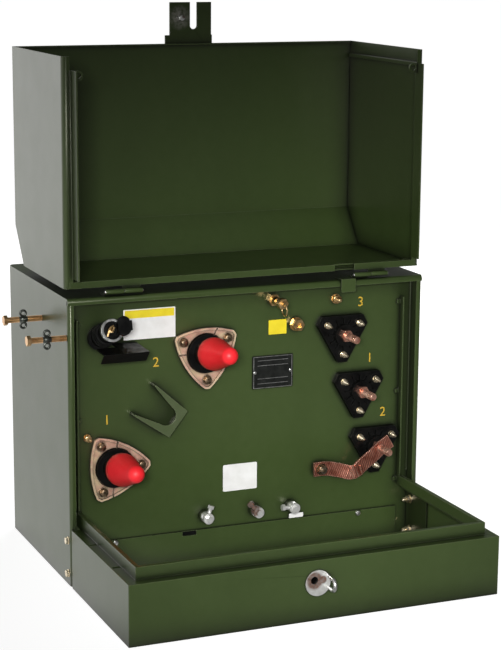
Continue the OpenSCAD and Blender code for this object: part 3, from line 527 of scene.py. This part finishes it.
# Rust by place in metres and reach in millimetres, the tab's wear in metres, and the wing nuts' distances out
LOCK_RUST = ((LOCK_HOLE, 15.5), (LOCK_HOLE + Vector((18 * MM, 0, 0)), 7))
CONNECTOR_RUST = ((middle("ground_connectors"), 16),)
BOLT_RUST = ((middle("latch_bolt") + Vector((4 * MM, -10 * MM, 4 * MM)), 6),)
TAB_WEAR = (middle("latch_bolt"), 14 * MM, 16 * MM)
WING_NUT_OUT = (50, 32)
OWN_MATERIAL = {
    "lock_plate": rusted_zinc("lock_zinc", LOCK_RUST),
    "ground_connectors": rusted_zinc("connector_zinc", CONNECTOR_RUST),
    "left_lifting_bolts": lifting_brass(*(TANK_LEFT - out * MM for out in WING_NUT_OUT)),
    "latch_tab": green_paint("tab_paint", worn=TAB_WEAR),
    "latch_bolt": rusted_zinc("bolt_zinc", BOLT_RUST),
    "ground_strap": braided_copper(),
    # Painted light: the parking stand's paint is a lighter copy of the green, with grey dust mixed in
    "parking_stand": green_paint("stand_lit_paint", shade=1.1, dust=0.35),
    "left_sill_bracket": SHADED_BRACKET_GREEN,
    "right_sill_bracket": SHADED_BRACKET_GREEN,
}
SLOT_OF = {row["node"]: row["material_slot"] for row in frame["record"]["subparts"]}
# Widths of the eased edges in millimetres, by slot and for the rest
EASED = {
    "green_paint": 0.8,
    "black_polymer": 0.8,
    "clamp_alloy": 0.6,
    "zinc_plated_steel": 0.5,
    "copper": 0.5,
}
EASED_OTHERS = 0.4
EASED_FROM = math.radians(40)
WELD_REACH = 0.01


def finish_nodes():
    """Every CAD node takes its own material or that of its slot, with its sharp edges eased."""
    for name, made in NODES.items():
        made.data.materials.clear()
        made.data.materials.append(OWN_MATERIAL.get(name) or MATERIALS[SLOT_OF[name]])
        weld = made.modifiers.new("weld", "WELD")
        weld.merge_threshold = WELD_REACH * MM
        bevel = made.modifiers.new("eased_edges", "BEVEL")
        bevel.width = EASED.get(SLOT_OF[name], EASED_OTHERS) * MM
        bevel.segments = 2
        bevel.limit_method = "ANGLE"
        bevel.angle_limit = EASED_FROM
        bevel.harden_normals = True


finish_nodes()


# Fasteners and other small pieces

# Places on the terminal plate and distances out of it, in millimetres
LOWER_WELL = (-294, 238)
UPPER_WELL = (-88, 470)
CLAMP_CIRCLE = 58
CLAMP_FACE = 6
# Turn of each clamp's first bolt, in degrees
LOWER_TURN, UPPER_TURN = 2, 32
SECONDARY = [(231 + 42 * i, 489 - 130 * i) for i in range(3)]
SECONDARY_CIRCLE = 45
SECONDARY_FACE = 15
SECONDARY_TURN = 30
TERMINAL_R = 8.35
TERMINAL_FROM, TERMINAL_TO = 38.2, 84.8
STRAP_BOSS = (183, 187)
STRAP_FACE = 15.4
STRAP_Z = 175
CREASES = (252.5, 264.5, 275)
CREASE_HALF = 16
CREASE_STEPS = 12
CREASE_SLANT = 0.39
CREASE_R = 1.7
SMALL_STUDS = ((218, 567, 1.0), (-354, 308, 0.75))
KICK_SCREWS = ((-294, 71), (281, 71))
KICK_FACE = 3
RATING_X = 69
RATING_FACE = 2
RATING_SCREWS = ((27, 416), (111, 416))
# Middles and sizes of the rating plate's border bars
RATING_BORDER = ((69, 450.5, 91, 1.2), (69, 381.5, 91, 1.2), (24, 416, 1.2, 70), (114, 416, 1.2, 70))
RATING_ROWS = (442, 431, 402, 391)
# Sill bolts: distance behind the rim and heights
SILL_BOLT_IN = 17
SILL_BOLTS = (98, 26)
# Lifting bolts: distance behind the rim and height, then the two threaded lengths out of the tank
LIFTING = ((188, 542), (14, 533))
LIFTING_THREADS = ((0, 38), (44, 75))
LIFTING_R = 6.4


def on_circle(centre, r, degrees):
    """Place on a bolt circle, in millimetres."""
    a = math.radians(degrees)
    return centre[0] + r * math.cos(a), centre[1] + r * math.sin(a)


WASHER_T = 2
WASHER_EDGE = 0.4


def add_washer(bm, matrix, r, low, t=WASHER_T):
    """Washer with its edges eased."""
    inner, edge = r - WASHER_EDGE, WASHER_EDGE
    add_lathe(bm, matrix, [(inner, low), (r, low + edge), (r, low + t - edge), (inner, low + t)])


def add_nut_and_stud(bm, matrix, across, nut, stud_r, stud_out, washer_r):
    """Washer, hexagon nut and the threaded end that stands out of it."""
    top = WASHER_T + nut
    add_washer(bm, matrix, washer_r, 0)
    add_hexagon(bm, matrix, across, WASHER_T, top, both=True)
    add_lathe(bm, matrix, thread(stud_r, top - 1, top + stud_out, 1.5, 0.7, 1.2), 20)


def clamp_bolts():
    """Three bolts on each primary bushing's clamp."""
    bm = bmesh.new()
    for centre, start in ((LOWER_WELL, LOWER_TURN), (UPPER_WELL, UPPER_TURN)):
        for k in range(3):
            x, z = on_circle(centre, CLAMP_CIRCLE, start + 120 * k)
            matrix = outwards(x, z, CLAMP_FACE, turn=0.4 * k + 0.2)
            add_washer(bm, matrix, 10, 0)
            add_hexagon(bm, matrix, 14, WASHER_T, 10)
    piece("clamp_bolts", bm, DARK_BRONZE)


def secondary_nuts():
    """Three nuts with their studs on each secondary bushing."""
    bm = bmesh.new()
    for i, centre in enumerate(SECONDARY):
        for k in range(3):
            x, z = on_circle(centre, SECONDARY_CIRCLE, SECONDARY_TURN + 120 * k)
            matrix = outwards(x, z, SECONDARY_FACE, turn=0.5 * k + 0.3 * i)
            add_nut_and_stud(bm, matrix, across=12, nut=7, stud_r=3.8, stud_out=13, washer_r=7.5)
    piece("secondary_nuts", bm, GOLD_ZINC)


def terminal_threads():
    """Threads on the secondary studs."""
    bm = bmesh.new()
    for x, z in SECONDARY:
        add_lathe(bm, outwards(x, z), thread(TERMINAL_R, TERMINAL_FROM, TERMINAL_TO, 2.3, 0.9, 2.5), 40)
    piece("terminal_threads", bm, COPPER)


def strap_bolt():
    """Washer, nut and stud that hold the strap's lower end."""
    nut_low = STRAP_FACE + WASHER_T
    bm = bmesh.new()
    add_washer(bm, outwards(*STRAP_BOSS), 13, STRAP_FACE)
    add_hexagon(bm, outwards(*STRAP_BOSS, turn=0.2), 19, nut_low, nut_low + 8.6, both=True)
    add_lathe(bm, outwards(*STRAP_BOSS), thread(6.3, 25, 30, 1.6, 0.8, 1.2), 24)
    piece("strap_bolt", bm, DARK_BRONZE)


def strap_creases():
    """Ridges across the strap where its braid bunches at the bend."""
    mesh = NODES["ground_strap"].data
    strap = BVHTree.FromPolygons([v.co for v in mesh.vertices], [p.vertices for p in mesh.polygons])
    bm = bmesh.new()
    for x in CREASES:
        points = []
        for step in range(CREASE_STEPS + 1):
            down = CREASE_HALF * (2 * step / CREASE_STEPS - 1)
            at_x = MIDDLE_X + (x + CREASE_SLANT * down) * MM
            from_front = Vector((at_x, PLATE_Y - 200 * MM, (STRAP_Z - down) * MM))
            hit = strap.ray_cast(from_front, Vector((0, 1, 0)))[0]
            if hit:
                points.append(hit)
        add_tube(bm, points, CREASE_R, 10)
    piece("strap_creases", bm, COPPER)


def small_studs():
    """Brass nuts with studs beside the upper edge and the lower bushing."""
    bm = bmesh.new()
    for x, z, size in SMALL_STUDS:
        matrix = outwards(x, z, 0, turn=0.4)
        add_washer(bm, matrix, 11 * size, 0)
        add_hexagon(bm, matrix, 17 * size, WASHER_T, 12, both=True)
        add_lathe(bm, matrix, thread(4.5 * size, 11, 26, 1.5, 0.7, 1.2), 20)
    piece("small_studs", bm, BRASS)


def add_screw(bm, matrix, r, h):
    """Domed screw head with a raised cross."""
    dome = [(r, 0), (r, 0.35 * h), (0.9 * r, 0.7 * h), (0.6 * r, 0.95 * h), (0.3 * r, h)]
    add_lathe(bm, matrix, dome, 28)
    along, across = 0.62 * r, 0.11 * r
    bar = [(-along, -across), (along, -across), (along, across), (-along, across)]
    for turn in (0, math.pi / 2):
        add_slab(bm, matrix @ Matrix.Rotation(turn, 4, "Z"), bar, 0.5 * h, 1.06 * h)


def plate_screws():
    """Screws of the kick plate and the rating plate."""
    bm = bmesh.new()
    for x, z in KICK_SCREWS:
        add_screw(bm, outwards(x, z, KICK_FACE, turn=0.6), 6, 3.4)
    for x, z in RATING_SCREWS:
        add_screw(bm, outwards(x, z, RATING_FACE, turn=0.3), 3.6, 2)
    piece("plate_screws", bm, ZINC)


def rating_plate_frame():
    """Raised border and blank rows of the rating plate."""
    bm = bmesh.new()
    for x, z, w, h in RATING_BORDER:
        add_slab(bm, outwards(x, z, RATING_FACE), rounded_rectangle(w, h, 0.5, 3), 0, 0.5, 0.1)
    for z in RATING_ROWS:
        row = rounded_rectangle(72, 0.9, 0.4, 3)
        add_slab(bm, outwards(RATING_X, z, RATING_FACE), row, 0, 0.4, 0.1)
    piece("rating_plate_frame", bm, ZINC)


def sill_fasteners():
    """Bolts through the tank's side and the sill's bracket, heads outside and nuts inside."""
    side_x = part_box("tank_right_side")[1].x - MIDDLE_X
    bracket_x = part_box("right_sill_bracket")[0].x - MIDDLE_X
    y = RIM_Y + SILL_BOLT_IN * MM
    bm = bmesh.new()
    for s in (-1, 1):
        for z in SILL_BOLTS:
            outside = facing((MIDDLE_X + s * side_x, y, z * MM), (s, 0, 0))
            add_washer(bm, outside, 8.5, 0, 1.6)
            add_hexagon(bm, outside, 13, 1.6, 7)
            inside = facing((MIDDLE_X + s * bracket_x, y, z * MM), (-s, 0, 0))
            add_nut_and_stud(bm, inside, across=14, nut=8, stud_r=4.5, stud_out=10, washer_r=10)
    piece("sill_fasteners", bm, GOLD_ZINC)


def lifting_threads():
    """Thread along each lifting bolt on both sides of its wing nut."""
    bm = bmesh.new()
    for y, z in LIFTING:
        matrix = facing((TANK_LEFT, RIM_Y + y * MM, z * MM), (-1, 0, 0))
        for low, high in LIFTING_THREADS:
            add_lathe(bm, matrix, thread(LIFTING_R, low, high, 2.0, 0.9, 1.0), 24)
    piece("lifting_threads", bm, OWN_MATERIAL["left_lifting_bolts"])


FUSE = (-324, 522)
FUSE_TILT = math.radians(20.5)
FUSE_LENGTH = 82
FUSE_SEAL = [(18.6, 0), (18.6, 2), (15, 3), (13, 3), (12, 1.2), (6, 1.2)]
FUSE_HOOK = [
    (0, 0, 4), (2, 2, 9), (3, 5, 12), (1, 8, 13), (-4, 6, 13), (-8, 0, 12), (-11, -7, 11), (-12, -12, 9)
]
FUSE_HOOK_R = 2.6


def fuse_hook():
    """Seal and brass pull hook in the fuse holder's mouth."""
    mouth = outwards(*FUSE) @ Matrix.Rotation(-FUSE_TILT, 4, "X")
    mouth = mouth @ Matrix.Translation((0, 0, FUSE_LENGTH * MM))
    bm = bmesh.new()
    add_lathe(bm, mouth, FUSE_SEAL, 40)
    piece("fuse_seal", bm, BLACK)
    bm = bmesh.new()
    add_hexagon(bm, mouth, 9, 1, 6)
    add_tube(bm, [mouth @ (Vector(p) * MM) for p in FUSE_HOOK], FUSE_HOOK_R)
    piece("fuse_hook", bm, BRASS)


# Cup of the lock socket, as (radius, depth) pairs in millimetres behind the sill's sheet
SOCKET_IN = 3.6
SOCKET = [(0.5, 30), (8.4, 30), (8.4, 0.4), (9.0, 0), (13, 0), (13.4, 0.4), (13.4, 33), (12, 34), (0.5, 34)]


def lock_socket():
    """Blind socket behind the sill that takes the latch bolt."""
    at = LOCK_HOLE.copy()
    at.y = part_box("sill_front")[0].y + SOCKET_IN * MM
    bm = bmesh.new()
    add_lathe(bm, facing(at, (0, 1, 0)), SOCKET, 40)
    piece("lock_socket", bm, BLACK)


def kick_slot_painted_shadow():
    """Black slab behind the slot in the kick plate, a painted shadow for the slot's dark depth."""
    bm = bmesh.new()
    add_slab(bm, outwards(-125, 72), rounded_rectangle(31, 9, 1), 0, 0.5, 0.1)
    piece("kick_slot_painted_shadow", bm, BLACK)


# Weld beads, in millimetres: start above the floor, step, mean radius, and ripple
BEAD_FROM, BEAD_STEP, BEAD_R, BEAD_RIPPLE = 160, 5, 3.0, 0.35


def weld_seams():
    """Rippled beads where the terminal plate meets the tank's sides."""
    low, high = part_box("terminal_plate")
    bm = bmesh.new()
    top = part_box("tank_cover")[0].z
    count = int((top - BEAD_FROM * MM) / (BEAD_STEP * MM))
    for x in (low.x + 1 * MM, high.x - 1 * MM):
        rings = []
        for i in range(count):
            matrix = facing((x, PLATE_Y - 0.5 * MM, (BEAD_FROM + i * BEAD_STEP) * MM), (0, 0, 1))
            rings.append([matrix @ Vector(q) for q in circle(BEAD_R + BEAD_RIPPLE * (-1) ** i, 0, 10)])
        add_rings(bm, Matrix.Identity(4), rings)
    piece("weld_seams", bm, GREEN)


# Bare labels and numbers


def label(name, material, x, z, w, h, t, corner=1.0, out=0.0):
    """Bare label at x and z, of width w, height h and thickness t, in millimetres."""
    bm = bmesh.new()
    add_slab(bm, outwards(x, z, out), rounded_rectangle(w, h, corner), 0, t, 0.15)
    piece(name, bm, material)


def labels():
    """Bare labels where the photo has printed ones."""
    label("blank_label", WHITE_STICKER, -214, 543.5, 116, 65, 0.7, 2)
    label("label_band", YELLOW_STICKER, -214, 565.5, 110, 17, 1.0, 1, 0.2)
    label("blank_sticker", WHITE_STICKER, -6, 186, 80, 60, 0.5, 3)
    label("yellow_tag", YELLOW_STICKER, 80, 514, 42, 32, 0.7, 1)
    label("small_tag", WHITE_STICKER, 128, 84, 34, 10, 0.8, 1, 3.2)


# Plain numbers and their places beside the bushings, in millimetres
NUMBERS = (("1", -310, 342), ("2", -200, 458), ("3", 279, 555), ("1", 304, 427), ("2", 339, 300))
NUMBER_SIZE = 30
NUMBER_EXTRUDE = 0.2
NUMBER_OUT = 0.15


def numbers():
    """Plain stencilled numbers beside the bushings."""
    bm = bmesh.new()
    for text, x, z in NUMBERS:
        curve = bpy.data.curves.new("number", "FONT")
        curve.body = text
        curve.size = NUMBER_SIZE * MM
        curve.extrude = NUMBER_EXTRUDE * MM
        curve.align_x = "CENTER"
        curve.align_y = "CENTER"
        drawn = bpy.data.objects.new("number", curve)
        bpy.context.scene.collection.objects.link(drawn)
        shape = drawn.to_mesh()
        shape.transform(outwards(x, z, NUMBER_OUT))
        bm.from_mesh(shape)
        drawn.to_mesh_clear()
        bpy.data.objects.remove(drawn)
        bpy.data.curves.remove(curve)
    piece("numbers", bm, YELLOW_PAINT)


clamp_bolts()
secondary_nuts()
terminal_threads()
strap_bolt()
strap_creases()
small_studs()
plate_screws()
rating_plate_frame()
sill_fasteners()
lifting_threads()
fuse_hook()
lock_socket()
kick_slot_painted_shadow()
weld_seams()
labels()
numbers()


# Stage, light and camera

CAMERA_AT = Vector((MIDDLE_X - 1.509, RIM_Y - 3.577, 1.346))
CAMERA_YAW = math.radians(22.84)
CAMERA_PITCH = math.radians(11.83)
CAMERA_ROLL = math.radians(0.40)
FOCAL_PIXELS = 1866.2
IMAGE_LONG_SIDE = 650
SENSOR = 36.0
SEES_TO = 200


def make_camera():
    """Camera at the photo's place and angle."""
    flat = math.cos(CAMERA_PITCH)
    forward = Vector((math.sin(CAMERA_YAW) * flat, math.cos(CAMERA_YAW) * flat, -math.sin(CAMERA_PITCH)))
    level = Vector((math.cos(CAMERA_YAW), -math.sin(CAMERA_YAW), 0))
    upright = level.cross(forward)
    right = math.cos(CAMERA_ROLL) * level + math.sin(CAMERA_ROLL) * upright
    up = right.cross(forward)
    data = bpy.data.cameras.new("camera")
    data.sensor_width = SENSOR
    data.lens = FOCAL_PIXELS * SENSOR / IMAGE_LONG_SIDE
    data.clip_end = SEES_TO
    made = bpy.data.objects.new("camera", data)
    turn = Matrix((right, up, -forward)).transposed().to_4x4()
    made.matrix_world = Matrix.Translation(CAMERA_AT) @ turn
    bpy.context.scene.collection.objects.link(made)
    bpy.context.scene.camera = made


def softbox(name, at, aim, size, power, spread=180, glossy=True):
    """Soft lamp, with its power in watts and its spread in degrees."""
    data = bpy.data.lights.new(name, "AREA")
    data.shape = "RECTANGLE"
    data.size, data.size_y = size
    data.energy = power
    data.spread = math.radians(spread)
    made = bpy.data.objects.new(name, data)
    turn = (Vector(aim) - Vector(at)).to_track_quat("-Z", "Y").to_matrix().to_4x4()
    made.matrix_world = Matrix.Translation(at) @ turn
    made.visible_camera = False
    made.visible_glossy = glossy
    bpy.context.scene.collection.objects.link(made)


class Backdrop(Nodes):
    """Node helpers for the floor and the world: what each kind of ray sees of them."""

    def __init__(self, tree, coordinate):
        super().__init__(tree)
        self.place = self.node("ShaderNodeTexCoord").outputs[coordinate]
        self.path = self.node("ShaderNodeLightPath").outputs

    def along(self, way):
        """How far a place lies along a direction."""
        made = self.node("ShaderNodeVectorMath", operation="DOT_PRODUCT")
        made.inputs[1].default_value = way
        self.link(self.place, made.inputs[0])
        return made.outputs["Value"]

    def away(self):
        """Distance of a place from the object."""
        made = self.node("ShaderNodeVectorMath", operation="LENGTH")
        self.link(self.place, made.inputs[0])
        return made.outputs["Value"]

    def eased(self, value, start, stop, low, high):
        """Maps start..stop to low..high with soft ends."""
        return self.mapped(value, start, stop, low, high, steps="SMOOTHSTEP")

    def seen(self, straight, mirrored):
        """One strength for camera and transmission rays and another for glossy rays."""
        direct = self.sums("MAXIMUM", self.path["Is Camera Ray"], self.path["Is Transmission Ray"])
        shown = self.sums("MULTIPLY", direct, straight)
        return self.sums("MAXIMUM", shown, self.sums("MULTIPLY", self.path["Is Glossy Ray"], mirrored))


# Reflections see white on this side of the object and a dim tone elsewhere
BEHIND_LEFT = (-0.8, 0.6, 0.0)
# Where the white side starts and is full: in the world by direction, on the floor in metres
WORLD_WHITE = (0.3, 0.7)
FLOOR_WHITE = (-0.1, 0.35)
FLOOR_HALF = 90
# Distances from the object, in metres, over which the floor's own glow rises to white
GLOW_RISE = (0.8, 4.5)


def make_world(fill, dim):
    """White surroundings for the camera, with a weak fill for the rest."""
    world = bpy.data.worlds.new("studio")
    bpy.context.scene.world = world
    world.use_nodes = True
    tree = world.node_tree
    background = tree.nodes["Background"]
    background.inputs["Color"].default_value = (1, 1, 1, 1)
    sky = Backdrop(tree, "Generated")
    mirrored = sky.eased(sky.along(BEHIND_LEFT), *WORLD_WHITE, dim, 1.0)
    strength = sky.sums("MAXIMUM", sky.seen(1.0, mirrored), fill)
    sky.link(strength, background.inputs["Strength"])


def make_floor(albedo, near_glow, dim):
    """Pale floor that keeps the object's shadow and reads as white to the camera."""
    bm = bmesh.new()
    bmesh.ops.create_grid(bm, x_segments=2, y_segments=2, size=FLOOR_HALF)
    mesh = bpy.data.meshes.new("floor")
    bm.to_mesh(mesh)
    bm.free()
    material = bpy.data.materials.new("floor")
    material.use_nodes = True
    tree = material.node_tree
    shader = tree.nodes["Principled BSDF"]
    shader.inputs["Base Color"].default_value = (albedo, albedo, albedo, 1)
    shader.inputs["Roughness"].default_value = 1.0
    shader.inputs["Specular IOR Level"].default_value = 0.0
    shader.inputs["Emission Color"].default_value = (1, 1, 1, 1)
    ground = Backdrop(tree, "Object")
    straight = ground.eased(ground.away(), *GLOW_RISE, near_glow, 1.0)
    mirrored = ground.eased(ground.along(BEHIND_LEFT), *FLOOR_WHITE, dim, 1.0)
    ground.link(ground.seen(straight, mirrored), shader.inputs["Emission Strength"])
    mesh.materials.append(material)
    floor = bpy.data.objects.new("floor", mesh)
    bpy.context.scene.collection.objects.link(floor)


def make_lamps():
    """Key lamp from the front left, and two behind that light the other sides."""
    softbox(
        "key",
        at=(MIDDLE_X - 1.35, -3.3, 1.35),
        aim=(MIDDLE_X + 0.2, 0, 0.28),
        size=(1.0, 0.5),
        power=6.2,
        spread=31,
    )
    softbox(
        "back",
        at=(MIDDLE_X - 2.0, 2.6, 0.9),
        aim=(MIDDLE_X - 0.4, 0, 0.5),
        size=(3.0, 1.7),
        power=10,
    )
    softbox(
        "rear",
        at=(MIDDLE_X + 2.2, 3.0, 2.0),
        aim=(MIDDLE_X, 0.2, 0.5),
        size=(2.5, 2.0),
        power=100,
        glossy=False,
    )


make_camera()
make_world(fill=0.03, dim=0.14)
make_floor(albedo=0.42, near_glow=0.86, dim=0.10)
make_lamps()
bpy.context.scene.view_settings.view_transform = "Standard"
